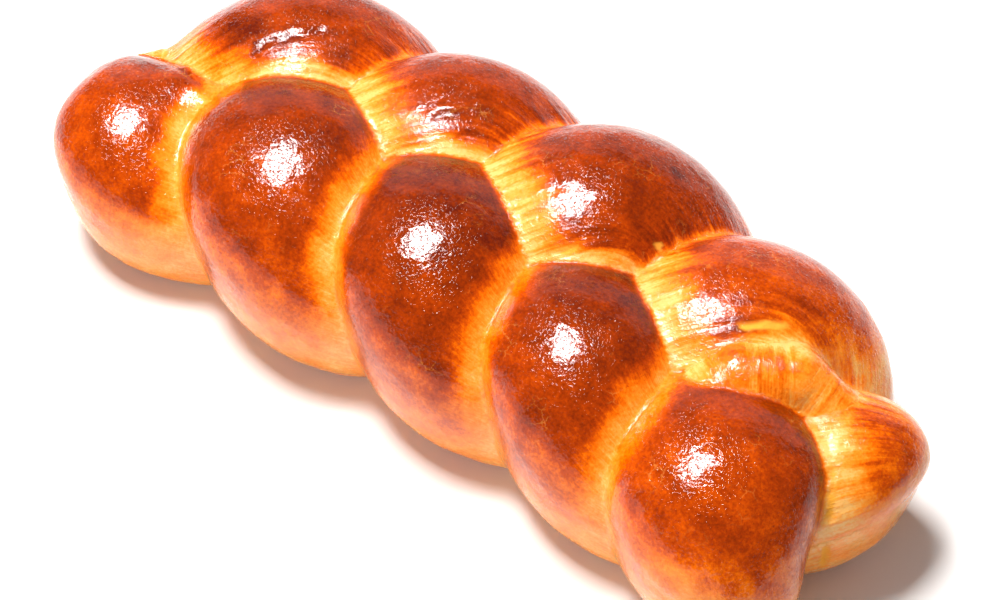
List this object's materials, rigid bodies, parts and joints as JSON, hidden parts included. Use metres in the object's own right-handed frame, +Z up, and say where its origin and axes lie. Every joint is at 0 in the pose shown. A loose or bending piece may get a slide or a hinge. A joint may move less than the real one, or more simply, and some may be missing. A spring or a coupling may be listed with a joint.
{
  "type": "brioche loaf",
  "caption": "Oblong plaited loaf of sweet bread with a glossy egg-washed crust, plump crossing humps and a flat underside that rests on a table or board.",
  "frame": {"origin": "middle of the loaf's flat underside, on the surface it rests on", "axes": "+X along the loaf towards the end where a rope's tip shows, +Y across it, +Z up"},
  "size_m": [0.3422, 0.1496, 0.08],
  "materials": {
    "crust": "egg-washed bread crust: thin, glossy, deep red-brown on the crowns, orange on the flanks and pale yellow in the creases"
  },
  "bodies": {
    "root": {"loaf": "crust"}
  },
  "joints": []
}
